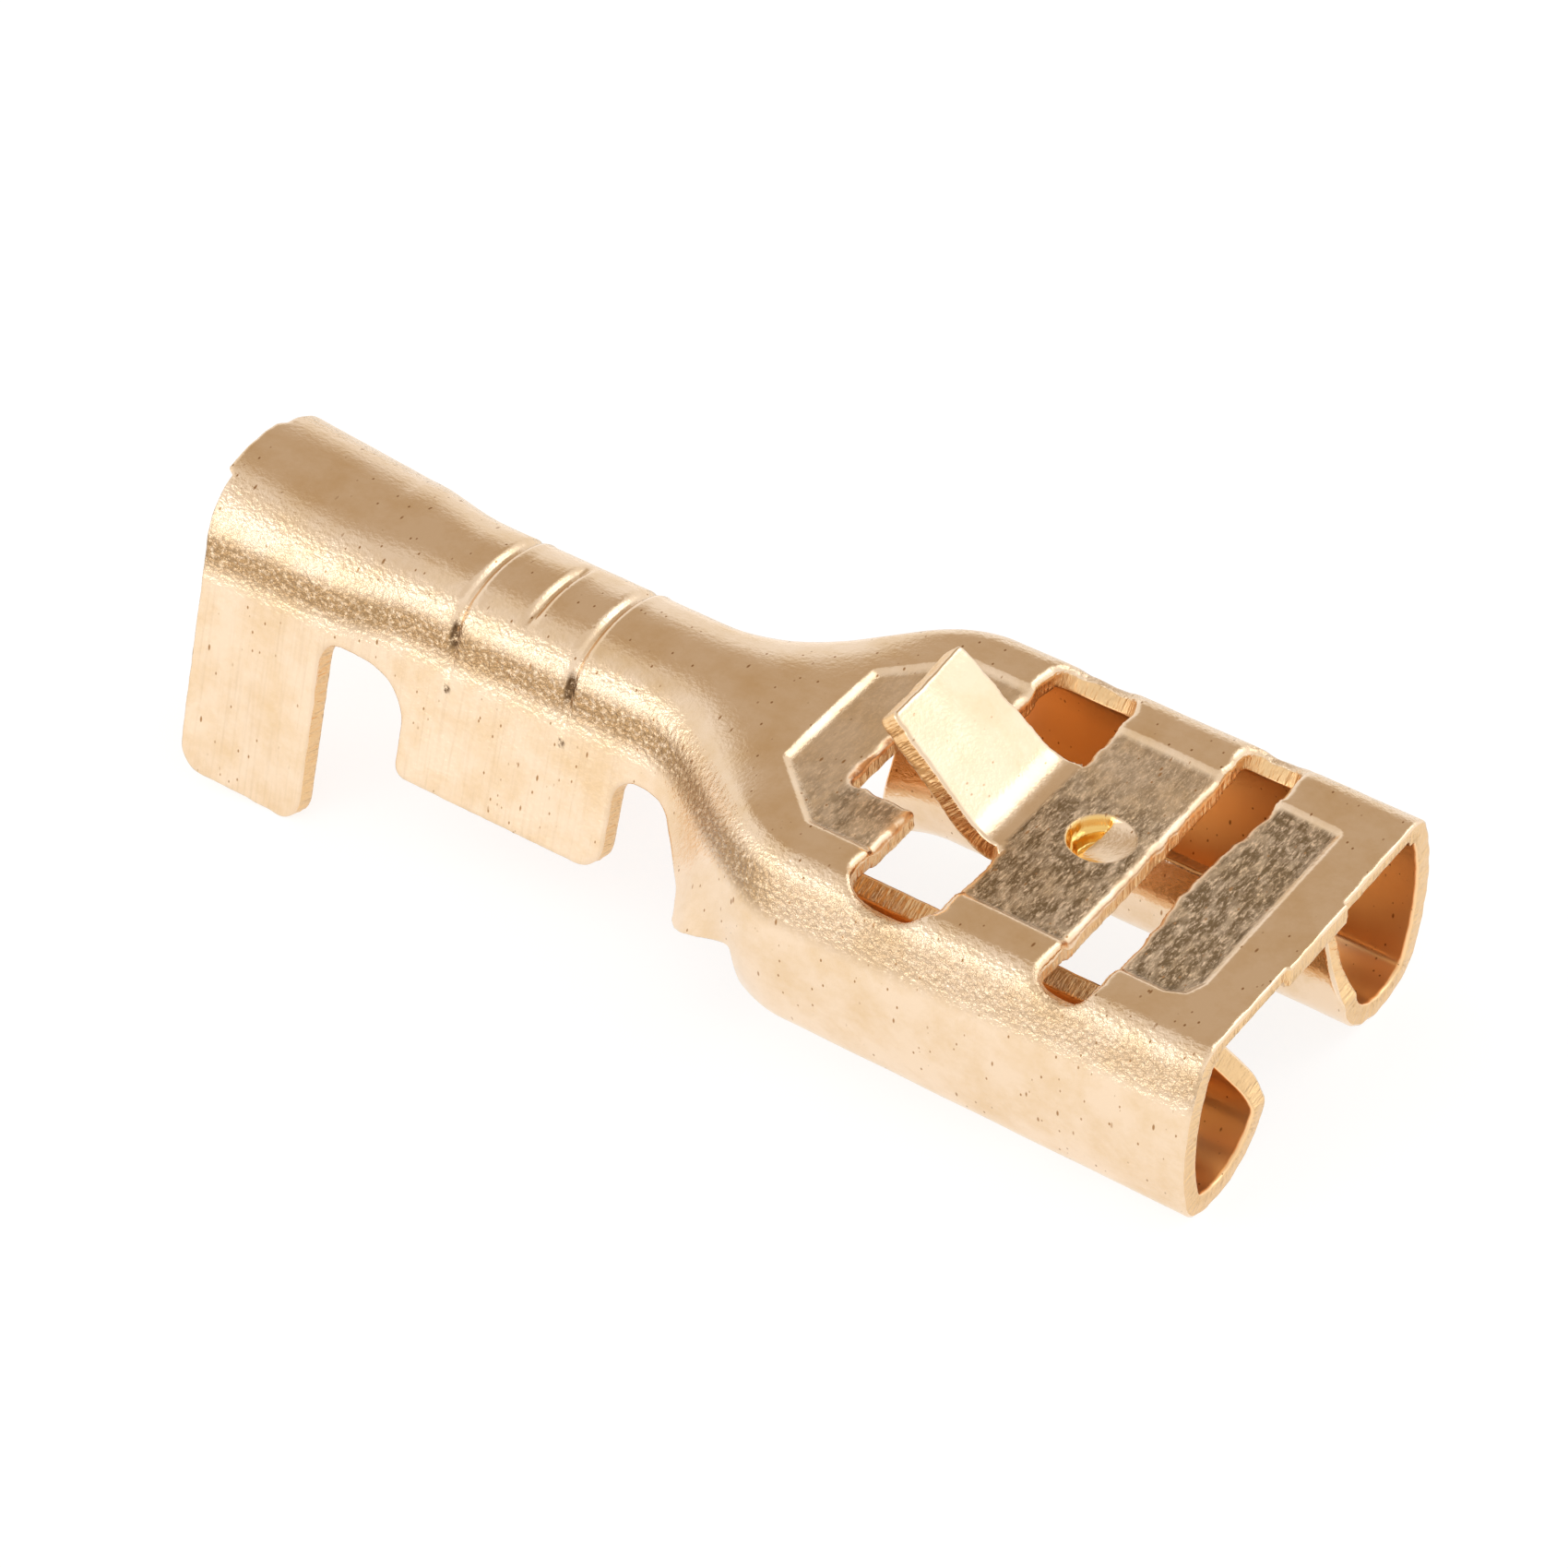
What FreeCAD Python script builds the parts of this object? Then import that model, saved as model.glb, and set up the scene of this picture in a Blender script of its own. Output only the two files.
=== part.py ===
import FreeCAD, Part
import math
import os

V = FreeCAD.Vector

# Driving dimensions in mm; x runs along the terminal with the mouth at x = 0 and the wire end at -x,
# z = 0 is the outer face of the flat plate while the terminal is being shaped
sheet = 0.40

# Receptacle: flat plate, side bend, bowed side wall and the roll under it
plate_half = 2.986
side_bend_r = 0.55
side_bend_deg = 67.2
wall_bow_r = 3.97
wall_bow_deg = 42.3
heel_r = 0.627
heel_deg = 42.8
roll_r = 1.48
roll_deg = 74.5
curl_r = 1.122
curl_deg = 69.1
lip_length = 0.55
roll_length = 8.72
mouth_bevel_depth = 0.15
mouth_bevel_run = 0.45
roll_corner_cut = 0.57
roll_corner_top = 0.90
roll_corner_low = 2.60

# Conductor barrel; the gap between it and the rolls comes first
neck_gap_length = 3.57
conductor_front = roll_length + neck_gap_length
conductor_length = 4.36
conductor_rear = conductor_front + conductor_length
conductor_crown_r = 2.22
conductor_crown_rad = 0.40
conductor_bend_r = 0.846
conductor_splay_rad = 0.315
conductor_wing = 3.04

# Neck between the conductor barrel and the receptacle, and the ledge in front of the gap
neck_rear_inset = 0.24
neck_rear = conductor_front - neck_rear_inset
neck_front_inset = 1.02
neck_front = roll_length - neck_front_inset
neck_wing = 3.60
neck_bow_length = 1.25
neck_gap_width = 1.99
neck_edge = conductor_front - neck_gap_width
neck_edge_low = 3.05
neck_edge_run = 0.15
neck_ledge_run = 1.25
neck_ledge = neck_edge - neck_ledge_run
neck_ledge_low = 2.54
neck_ledge_mid = (0.65, 0.28)
neck_ledge_rise = 0.04
neck_arch_top = 1.80
neck_arch_peak = 0.37
neck_arch_drop = (0.40, 1.22)

# Insulation barrel, open end wider than the end next to the conductor barrel
wing_gap = 1.71
insulation_length = 2.56
insulation_front = conductor_rear + wing_gap
insulation_rear = insulation_front + insulation_length
insulation_splay_rad = 0.298
insulation_crown_rad = 0.276
front_crown_r = 3.21
front_bend_r = 1.07
front_wing = 4.62
front_crown_z = 0.09
rear_crown_r = 2.96
rear_bend_r = 1.38
rear_wing = 4.466
rear_crown_z = 0.34
wing_corner_r = 0.50
wing_arch_top = 1.76
wing_arch_peak = 0.43
wing_arch_drop = (0.39, 1.20)

# Stamped field in the plate, with its sloping border
field_depth = 0.10
field_border = 0.15
field_half = 2.34
field_front = 0.84
field_shoulder = 8.05
field_rear = 9.15
field_rear_half = 1.36

# Windows, lance and dimple
window_half = 3.43
window_end_deg = 56.0
rear_window = (6.75, 5.15)
rear_window_round = 0.74
front_window = (3.11, 2.20)
front_window_round = 0.42
notch_rear = 7.95
notch_half = 1.05
notch_round = 0.12
lance_deg = 41.8
lance_bend_r = 0.90
lance_root_half = 1.10
lance_tip_half = 0.96
lance_length = 2.75
dimple_x = 3.95
dimple_r = 0.56
dimple_depth = 0.28
dimple_foot_r = 0.12
dimple_foot_shift = (-0.36, 0.20)
dimple_wall = 0.12

# Grooves over the conductor barrel: distance from its front end, reach from the crown, and their V shape
grooves = ((1.17, 2.2), (2.36, 1.2), (3.57, 2.2))
groove_width = 0.28
groove_depth = 0.08

# Stubs of the carrier strip left at both ends
front_stub_half = 0.90
front_stub_length = 0.06
rear_stub_half = 0.70
rear_stub_shift = -0.27
rear_stub_length = 0.16

# Cutters run past the sheet by these amounts
cutter_reach = 2.0 * plate_half
overlap = 0.05 * sheet


def smooth(t):
    t = min(max(t, 0.0), 1.0)
    return t * t * (3.0 - 2.0 * t)


def mix(a, b, t):
    return a + (b - a) * t


# A section is a list of (length, curvature) pieces walked from the middle of the crown to the wing tip
def receptacle_pieces():
    bends = (
        (side_bend_r, side_bend_deg),
        (wall_bow_r, wall_bow_deg),
        (heel_r, heel_deg),
        (roll_r, roll_deg),
        (curl_r, curl_deg),
    )
    pieces = [(plate_half, 0.0)]
    for radius, degrees in bends:
        pieces.append((radius * math.radians(degrees), 1.0 / radius))
    pieces.append((lip_length, 0.0))
    return pieces


def barrel_pieces(crown_r, crown_rad, bend_r, splay_rad, wing):
    bend_rad = math.pi / 2 - splay_rad - crown_rad
    return [(crown_r * crown_rad, 1.0 / crown_r), (bend_r * bend_rad, 1.0 / bend_r), (wing, 0.0)]


def conductor_pieces():
    return barrel_pieces(
        conductor_crown_r, conductor_crown_rad, conductor_bend_r, conductor_splay_rad, conductor_wing
    )


def insulation_pieces(share):
    crown_r = mix(front_crown_r, rear_crown_r, share)
    bend_r = mix(front_bend_r, rear_bend_r, share)
    wing = mix(front_wing, rear_wing, share)
    return barrel_pieces(crown_r, insulation_crown_rad, bend_r, insulation_splay_rad, wing)


# From the conductor barrel to the receptacle the crown flattens and widens; the wall takes its bow late
def neck_pieces(x, full):
    share = smooth((x + neck_rear) / (neck_rear - neck_front))
    bow = smooth((x + roll_length) / neck_bow_length + 1.0) / wall_bow_r
    rear = conductor_pieces()
    front = receptacle_pieces()
    crown_length = mix(rear[0][0], front[0][0], share)
    crown_bend = rear[0][1] * (1.0 - share) ** 2
    turn = mix(math.pi / 2 - conductor_splay_rad, math.radians(side_bend_deg), share)
    bend_length = mix(rear[1][0], front[1][0], share)
    bend = (turn - crown_length * crown_bend) / bend_length
    pieces = [(crown_length, crown_bend), (bend_length, bend)]
    if full:
        pieces.append((front[2][0], bow))
        return pieces + front[3:]
    pieces.append((neck_wing, bow))
    return pieces


def joint_pieces(t):
    rear = insulation_pieces(0.0)
    front = conductor_pieces()
    share = smooth(t)
    return [(mix(a[0], b[0], share), mix(a[1], b[1], share)) for a, b in zip(front, rear)]


# Points and headings at the ends and the middle of every piece of a section
def walk(pieces, crown_z):
    y, z, turn = 0.0, crown_z, 0.0
    stops = [(y, z, turn)]
    for length, bend in pieces:
        for half in (0, 1):
            step = length / 2.0
            if abs(bend) > 1e-9:
                after = turn + bend * step
                y += (math.sin(after) - math.sin(turn)) / bend
                z += (math.cos(after) - math.cos(turn)) / bend
                turn = after
            else:
                y += step * math.cos(turn)
                z -= step * math.sin(turn)
            stops.append((y, z, turn))
    return stops


# One skin of the section, edge by edge from the left tip to the right tip, at a depth below the outer face
def skin(stops, pieces, x, depth, flip):
    half = [V(x, y - depth * math.sin(t), z - depth * math.cos(t)) for y, z, t in stops]
    left = [V(p.x, -p.y, p.z) for p in half]
    edges = []
    for i in range(len(pieces) - 1, 0, -1):
        edges.append(piece_edge(left[2 * i + 2], left[2 * i + 1], left[2 * i], pieces[i][1]))
    edges.append(piece_edge(left[2], half[0], half[2], pieces[0][1]))
    for i in range(1, len(pieces)):
        edges.append(piece_edge(half[2 * i], half[2 * i + 1], half[2 * i + 2], pieces[i][1]))
    if flip:
        edges = [piece_reverse(e) for e in reversed(edges)]
    return edges, left[-1], half[-1]


def piece_edge(a, b, c, bend):
    if abs(bend) < 1e-4:
        return Part.LineSegment(a, c).toShape()
    return Part.Arc(a, b, c).toShape()


def piece_reverse(edge):
    first, last = edge.ParameterRange
    a, b, c = (edge.valueAt(p) for p in (last, (first + last) / 2.0, first))
    if edge.Curve.TypeId == "Part::GeomLine":
        return Part.LineSegment(a, c).toShape()
    return Part.Arc(a, b, c).toShape()


def section(pieces, x, crown_z=0.0, outer=0.0, inner=None):
    depth = sheet if inner is None else inner
    stops = walk(pieces, crown_z)
    top, left_out, right_out = skin(stops, pieces, x, outer, False)
    under, left_in, right_in = skin(stops, pieces, x, depth, True)
    edges = top + [Part.LineSegment(right_out, right_in).toShape()]
    edges = edges + under + [Part.LineSegment(left_in, left_out).toShape()]
    return Part.Wire(edges)


def prism(wire, direction):
    return Part.Face(wire).extrude(direction)


# A closed outline seen from the side, cut through the full width; long chains of points become curves
def side_cutter(parts, half=cutter_reach):
    edges = []
    for points in parts:
        corners = [V(x, -half, z) for x, z in points]
        if len(corners) == 2:
            edges.append(Part.LineSegment(corners[0], corners[1]).toShape())
        else:
            curve = Part.BSplineCurve()
            curve.interpolate(corners)
            edges.append(curve.toShape())
    return prism(Part.Wire(edges), V(0, 2 * half, 0))


def arch(rear, front, top, peak, drops):
    crest = mix(rear, front, peak)
    points = []
    for i in range(5):
        turn = math.pi / 2 * i / 5.0
        points.append((crest - (crest - rear) * math.cos(turn), -top - drops[0] * (1.0 - math.sin(turn))))
    for i in range(7):
        turn = math.pi / 2 * i / 6.0
        points.append((crest + (front - crest) * math.sin(turn), -top - drops[1] * (1.0 - math.cos(turn))))
    return points


def spread(start, end, count):
    return [mix(start, end, i / (count - 1.0)) for i in range(count)]


def receptacle():
    pieces = receptacle_pieces()
    body = prism(section(pieces, -neck_front), V(neck_front, 0, 0))
    stations = spread(-roll_length, -neck_front, 4)
    rear = Part.makeLoft([section(neck_pieces(x, True), x) for x in stations], True, False)
    shaped = body.fuse(rear)
    top = -roll_corner_top
    low = -roll_corner_low
    back = -roll_corner_cut * (top - low)
    corner = [[(sheet, low), (0.0, low)], [(0.0, low), (back, top)]]
    corner += [[(back, top), (sheet, top)], [(sheet, top), (sheet, low)]]
    return shaped.cut(side_cutter(corner, plate_half - side_bend_r))


def neck():
    stations = spread(-neck_rear, -roll_length, 7)
    return Part.makeLoft([section(neck_pieces(x, False), x) for x in stations], True, False)


# The gap between the conductor wings and the receptacle, with the sheared ledge in front of it
def neck_gap():
    curve = arch(-conductor_front, -neck_edge, neck_arch_top, neck_arch_peak, neck_arch_drop)
    deep = cutter_reach
    edge_end = (-neck_edge + neck_edge_run, -neck_edge_low)
    ledge_mid = (-neck_ledge - neck_ledge_mid[0], -neck_ledge_low - neck_ledge_mid[1])
    ledge_end = (-roll_length, -neck_ledge_low + neck_ledge_rise)
    outline = [curve, [curve[-1], edge_end], [edge_end, ledge_mid]]
    outline += [[ledge_mid, (-neck_ledge, -neck_ledge_low), ledge_end]]
    outline += [[ledge_end, (-roll_length, -deep)], [(-roll_length, -deep), (-conductor_front, -deep)]]
    outline += [[(-conductor_front, -deep), curve[0]]]
    return side_cutter(outline)


# Rounds one lower corner of a wing, seen from the side
def corner_cutter(x, z, r, side):
    a = (x - side * r, z)
    b = (x - side * r + side * r * math.sin(math.pi / 4), z + r - r * math.cos(math.pi / 4))
    c = (x, z + r)
    out = (x + side * sheet, z - sheet)
    near = -cutter_reach
    edges = [Part.Arc(*[V(q[0], near, q[1]) for q in (a, b, c)]).toShape()]
    for p, q in ((c, (out[0], c[1])), ((out[0], c[1]), out), (out, (a[0], out[1])), ((a[0], out[1]), a)):
        edges.append(Part.LineSegment(V(p[0], near, p[1]), V(q[0], near, q[1])).toShape())
    return prism(Part.Wire(edges), V(0, 2.0 * cutter_reach, 0))


def wing_tip_z(pieces, crown_z):
    return walk(pieces, crown_z)[-1][1]


def groove(x, reach):
    pieces = conductor_pieces()
    kept = []
    for length, bend in pieces:
        taken = min(length, reach - sum(p[0] for p in kept))
        if taken > 1e-6:
            kept.append((taken, bend))
    rings = []
    for shift, depth in ((-0.5, -overlap / 2.0), (0.0, groove_depth), (0.5, -overlap / 2.0)):
        rings.append(section(kept, x + shift * groove_width, 0.0, -sheet, depth))
    return Part.makeLoft(rings, True, True)


def conductor_barrel():
    pieces = conductor_pieces()
    body = prism(section(pieces, -conductor_rear), V(conductor_rear - neck_rear, 0, 0))
    body = body.fuse(neck()).cut(neck_gap())
    low = wing_tip_z(pieces, 0.0)
    body = body.cut(corner_cutter(-conductor_front, low, wing_corner_r, 1))
    for place, reach in grooves:
        body = body.cut(groove(-conductor_front - place, reach))
    return body


def insulation_barrel():
    stations = []
    for t in spread(0.0, 1.0, 5):
        x = mix(-conductor_rear, -insulation_front, t)
        stations.append(section(joint_pieces(t), x, front_crown_z * smooth(t)))
    joint = Part.makeLoft(stations, True, False)
    curve = arch(-insulation_front, -conductor_rear, wing_arch_top, wing_arch_peak, wing_arch_drop)
    deep = cutter_reach
    outline = [curve, [curve[-1], (curve[-1][0], -deep)]]
    outline += [[(curve[-1][0], -deep), (-insulation_front, -deep)]]
    outline += [[(-insulation_front, -deep), curve[0]]]
    joint = joint.cut(side_cutter(outline))
    rear = section(insulation_pieces(1.0), -insulation_rear, rear_crown_z)
    front = section(insulation_pieces(0.0), -insulation_front, front_crown_z)
    body = Part.makeLoft([rear, front], True, True)
    low_front = wing_tip_z(insulation_pieces(0.0), front_crown_z)
    low_rear = wing_tip_z(insulation_pieces(1.0), rear_crown_z)
    body = body.cut(corner_cutter(-insulation_front, low_front, wing_corner_r, 1))
    body = body.cut(corner_cutter(-insulation_rear, low_rear, wing_corner_r, -1))
    return joint, body


def field_outline(grow, z):
    half = field_half + grow
    points = [
        (-field_front + grow, half),
        (-field_shoulder, half),
        (-field_rear - grow, field_rear_half + grow / 2.0),
        (-field_rear - grow, -field_rear_half - grow / 2.0),
        (-field_shoulder, -half),
        (-field_front + grow, -half),
    ]
    loop = [V(x, y, z) for x, y in points]
    return Part.makePolygon(loop + [loop[0]])


# A flat tapered slab under the field outline, used once above the sheet and once below it
def field_slab(top_grow, top_z, low_grow, low_z):
    return Part.makeLoft([field_outline(top_grow, top_z), field_outline(low_grow, low_z)], True, True)


def rounded_slot(x_rear, x_front, half, radius, z, depth):
    slab = Part.makeBox(x_front - x_rear, 2 * half, depth, V(x_rear, -half, z))
    upright = [e for e in slab.Edges if abs(e.tangentAt(e.FirstParameter).z) > 0.99]
    return slab.makeFillet(radius, upright)


def window(rear, front, radius):
    slot = rounded_slot(-rear, -front, window_half, radius, -3.0 * sheet, 6.0 * sheet)
    reach = plate_half
    angle = math.radians(window_end_deg)
    points = [
        V(-rear, -plate_half, -side_bend_r),
        V(-rear, plate_half, -side_bend_r),
        V(-rear, plate_half + reach * math.sin(angle), -side_bend_r + reach * math.cos(angle)),
        V(-rear, -plate_half - reach * math.sin(angle), -side_bend_r + reach * math.cos(angle)),
    ]
    fan = prism(Part.makePolygon(points + [points[0]]), V(rear - front, 0, 0))
    return slot.common(fan)


def lance():
    angle = math.radians(lance_deg)
    top_z = -field_depth
    hinge = V(-rear_window[1], 0, top_z + lance_bend_r)
    back = V(-math.cos(angle), 0, math.sin(angle))
    down = V(-math.sin(angle), 0, -math.cos(angle))
    near, far = lance_bend_r, lance_bend_r + sheet
    straight = lance_length - near * angle
    start_top = hinge + down * near
    start_low = hinge + down * far
    mid = V(-math.sin(angle / 2), 0, -math.cos(angle / 2))
    root_top = hinge + V(0, 0, -near)
    root_low = hinge + V(0, 0, -far)
    inset = V(sheet, 0, 0)
    edges = [
        Part.Arc(root_top, hinge + mid * near, start_top).toShape(),
        Part.LineSegment(start_top, start_top + back * straight).toShape(),
        Part.LineSegment(start_top + back * straight, start_low + back * straight).toShape(),
        Part.LineSegment(start_low + back * straight, start_low).toShape(),
        Part.Arc(start_low, hinge + mid * far, root_low).toShape(),
        Part.LineSegment(root_low, root_low + inset).toShape(),
        Part.LineSegment(root_low + inset, root_top + inset).toShape(),
        Part.LineSegment(root_top + inset, root_top).toShape(),
    ]
    wire = Part.Wire(edges)
    wire.translate(V(0, -2.0 * lance_root_half, 0))
    blade = prism(wire, V(0, 4.0 * lance_root_half, 0))
    root_x = -rear_window[1]
    tip_x = (start_top + back * straight).x - far * math.sin(angle)
    low = -cutter_reach
    plan = [
        V(root_x + 2.0 * sheet, lance_root_half, low),
        V(root_x, lance_root_half, low),
        V(tip_x, lance_tip_half, low),
        V(tip_x, -lance_tip_half, low),
        V(root_x, -lance_root_half, low),
        V(root_x + 2.0 * sheet, -lance_root_half, low),
    ]
    return blade.common(prism(Part.makePolygon(plan + [plan[0]]), V(0, 0, 2.0 * cutter_reach)))


# The dimple is a skewed cone, steep towards the wire end, with a ramp towards the mouth
def dimple_body(radius, top_z, depth, foot):
    centre = V(-dimple_x, 0, top_z)
    low = centre + V(dimple_foot_shift[0], dimple_foot_shift[1], -depth)
    ring = Part.Wire(Part.Circle(centre, V(0, 0, 1), radius).toShape())
    base = Part.Wire(Part.Circle(low, V(0, 0, 1), foot).toShape())
    return Part.makeLoft([ring, base], True, True)


def shaped_terminal():
    joint, barrel = insulation_barrel()
    body = receptacle().fuse([conductor_barrel(), joint, barrel])
    body = body.removeSplitter()
    low = -sheet
    under = field_slab(-field_border, low - field_depth, 0.0, low + overlap)
    body = body.fuse(under)
    boss_r = dimple_r + dimple_wall
    boss_foot = dimple_foot_r + 1.5 * dimple_wall
    body = body.fuse(dimple_body(boss_r, low - field_depth + overlap, dimple_depth, boss_foot))
    rise = field_border * overlap / field_depth
    body = body.cut(field_slab(rise, overlap, -field_border, -field_depth))
    body = body.cut(dimple_body(dimple_r, -field_depth, dimple_depth, dimple_foot_r))
    body = body.cut(window(*rear_window, rear_window_round))
    body = body.cut(window(*front_window, front_window_round))
    notch_front = rear_window[0] - 2.0 * notch_round
    notch = rounded_slot(-notch_rear, -notch_front, notch_half, notch_round, -2.0 * sheet, 4.0 * sheet)
    body = body.cut(notch)
    body = body.fuse(lance())
    high = mouth_bevel_depth - sheet
    bevel = [[(sheet, high), (0.0, high)], [(0.0, high), (-mouth_bevel_run, -sheet)]]
    bevel += [[(-mouth_bevel_run, -sheet), (-mouth_bevel_run, -2.0 * sheet)]]
    bevel += [[(-mouth_bevel_run, -2.0 * sheet), (sheet, -2.0 * sheet)]]
    bevel += [[(sheet, -2.0 * sheet), (sheet, high)]]
    body = body.cut(side_cutter(bevel, plate_half))
    stub = Part.makeBox(
        front_stub_length + mouth_bevel_run, 2 * front_stub_half, sheet,
        V(-mouth_bevel_run, -front_stub_half, -sheet)
    )
    body = body.fuse(stub)
    crown = [(rear_stub_half, 1.0 / rear_crown_r)]
    tail = prism(section(crown, -insulation_rear, rear_crown_z), V(-rear_stub_length, 0, 0))
    lean = math.degrees(rear_stub_shift / rear_crown_r)
    tail.rotate(V(0, 0, rear_crown_z - rear_crown_r), V(1, 0, 0), lean)
    return body.fuse(tail).removeSplitter()


# The terminal rests on the mouth edge of its rolls and on the lower front corners of the insulation wings
def rest_angle():
    stops = walk(receptacle_pieces(), 0.0)
    roll_low = min(z for y, z, t in stops)
    for (ya, za, ta), (yb, zb, tb) in zip(stops, stops[1:]):
        if ta < math.pi <= tb:
            bend = (tb - ta) / max(math.hypot(yb - ya, zb - za), 1e-9)
            radius = (yb - ya) / (math.sin(tb) - math.sin(ta))
            roll_low = za - radius * (math.cos(ta) + 1.0)
    centre_x = -insulation_front - wing_corner_r
    centre_z = wing_tip_z(insulation_pieces(0.0), front_crown_z) + wing_corner_r
    reach = math.hypot(centre_x, centre_z - roll_low)
    line = math.atan2(roll_low - centre_z, -centre_x)
    return line + math.asin(wing_corner_r / reach)


def settle(shape):
    shape.rotate(V(0, 0, 0), V(0, 1, 0), math.degrees(rest_angle()))
    box = shape.optimalBoundingBox(False, False)
    shape.translate(V(-box.Center.x, -box.Center.y, -box.ZMin))
    return shape


os.makedirs("parts", exist_ok=True)
terminal = settle(shaped_terminal())
terminal.exportStep("parts/terminal.step")
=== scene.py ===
import math

import bpy
import numpy as np
from mathutils import Matrix, Vector
from mathutils.geometry import delaunay_2d_cdt
from mathutils.kdtree import KDTree


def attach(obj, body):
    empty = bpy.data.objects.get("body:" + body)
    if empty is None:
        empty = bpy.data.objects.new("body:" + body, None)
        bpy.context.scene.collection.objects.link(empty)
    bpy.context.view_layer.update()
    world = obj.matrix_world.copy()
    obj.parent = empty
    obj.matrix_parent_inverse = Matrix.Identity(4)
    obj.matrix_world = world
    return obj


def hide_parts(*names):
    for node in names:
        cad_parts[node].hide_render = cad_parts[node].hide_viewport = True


bl_info = {
    "name": "Female spade terminal",
    "version": (1, 0, 0),
    "blender": (4, 5, 0),
    "location": "3D View > Sidebar > Terminal",
    "description": "Folds a flat brass blank into a female spade terminal and sets up its stage",
    "category": "Object",
}

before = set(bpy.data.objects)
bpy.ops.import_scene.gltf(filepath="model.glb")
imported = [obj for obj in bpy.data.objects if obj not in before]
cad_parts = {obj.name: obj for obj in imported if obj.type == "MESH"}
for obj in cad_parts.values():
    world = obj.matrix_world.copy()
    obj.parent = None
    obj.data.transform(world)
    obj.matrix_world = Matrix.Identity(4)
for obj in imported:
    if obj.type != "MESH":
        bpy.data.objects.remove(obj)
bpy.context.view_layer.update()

MM = 0.001

# The blank is drawn in mm: x along the terminal (0 at the mouth, minus towards the wire), s across it,
# measured along the outer face from the middle line; its sections are lists of (length, bend per mm)
SIDE_BEND_LENGTH = 0.645
SIDE_BEND_TURN = math.radians(67.2)
WALL = (2.931, 1 / 3.97)
WALL_BOW_RUN = 1.25
ROLL = ((0.468, 1 / 0.627), (1.924, 1 / 1.48), (1.353, 1 / 1.122), (0.55, 0.0))
ROLL_REAR = -8.72
CUT_WANDER = 0.06
NECK_FRONT = -7.70
NECK_REAR = -12.05
CONDUCTOR_FRONT = -12.29
CONDUCTOR_REAR = -16.65
INSULATION_FRONT = -18.36
INSULATION_REAR = -20.92
LONG = 20.0


def srgb(hex_code):
    """Linear colour of an sRGB hex value."""
    parts = [int(hex_code[i : i + 2], 16) / 255 for i in (1, 3, 5)]
    return tuple(c / 12.92 if c <= 0.04045 else ((c + 0.055) / 1.055) ** 2.4 for c in parts)


class TerminalSheet(bpy.types.PropertyGroup):
    thickness: bpy.props.FloatProperty(
        name="Sheet", description="Thickness of the brass sheet in mm", default=0.40, min=0.2, max=0.8
    )
    plate_half: bpy.props.FloatProperty(
        name="Half plate", description="Half the width of the flat plate in mm", default=2.986
    )
    edge_round: bpy.props.FloatProperty(
        name="Edge round", description="Round that the punch draws on the outer edge in mm", default=0.055
    )
    burr_round: bpy.props.FloatProperty(
        name="Burr round", description="Round on the inner edge in mm", default=0.02
    )
    spacing: bpy.props.FloatProperty(
        name="Point spacing", description="Distance between the points of the outer face in mm",
        default=0.10,
    )


class TerminalFinish(bpy.types.PropertyGroup):
    face: bpy.props.FloatVectorProperty(
        name="Brass", description="Colour of the rolled face",
        default=srgb("#F6DCBE"), subtype="COLOR", size=3,
    )
    shade: bpy.props.FloatVectorProperty(
        name="Tarnish", description="Colour of the duller patches",
        default=srgb("#EBCBA2"), subtype="COLOR", size=3,
    )
    # Painted bounce light: the inner face is a brighter, deeper gold copy of the brass, standing in for light
    # caught between the walls inside the rolls
    inner: bpy.props.FloatVectorProperty(
        name="Inner face", description="Colour of the face inside the rolls",
        default=srgb("#FFD5A2"), subtype="COLOR", size=3,
    )
    # Partly dirt, partly painted shade: this colour also stands in for the dim room that the coined field
    # mirrors
    soil_and_shade: bpy.props.FloatVectorProperty(
        name="Soil", description="Colour of the dirty streaks in the coined field",
        default=srgb("#7C6548"), subtype="COLOR", size=3,
    )
    # Painted shade: this brown is laid on the band just past each bend to stand in for the dark reflection
    # there; it also tints the fine drawing lines down the wings
    drawn: bpy.props.FloatVectorProperty(
        name="Drawn band", description="Colour of the flecked band that the punch drew past each bend",
        default=srgb("#AA8860"), subtype="COLOR", size=3,
    )
    # Dark brown laid into the long grooves where they cross the bends and near their ends
    groove_brown: bpy.props.FloatVectorProperty(
        name="Packed dirt", description="Colour of the dirt in the grooves",
        default=srgb("#6C5238"), subtype="COLOR", size=3,
    )
    pit: bpy.props.FloatVectorProperty(
        name="Pits", description="Colour of dirt in the small pits",
        default=srgb("#AE845A"), subtype="COLOR", size=3,
    )
    dent: bpy.props.FloatVectorProperty(
        name="Dimple", description="Colour of the fresh brass in the dimple",
        default=srgb("#F3C878"), subtype="COLOR", size=3,
    )
    edge: bpy.props.FloatVectorProperty(
        name="Cut edge", description="Colour of the sheared edges",
        default=srgb("#F1CB98"), subtype="COLOR", size=3,
    )


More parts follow.
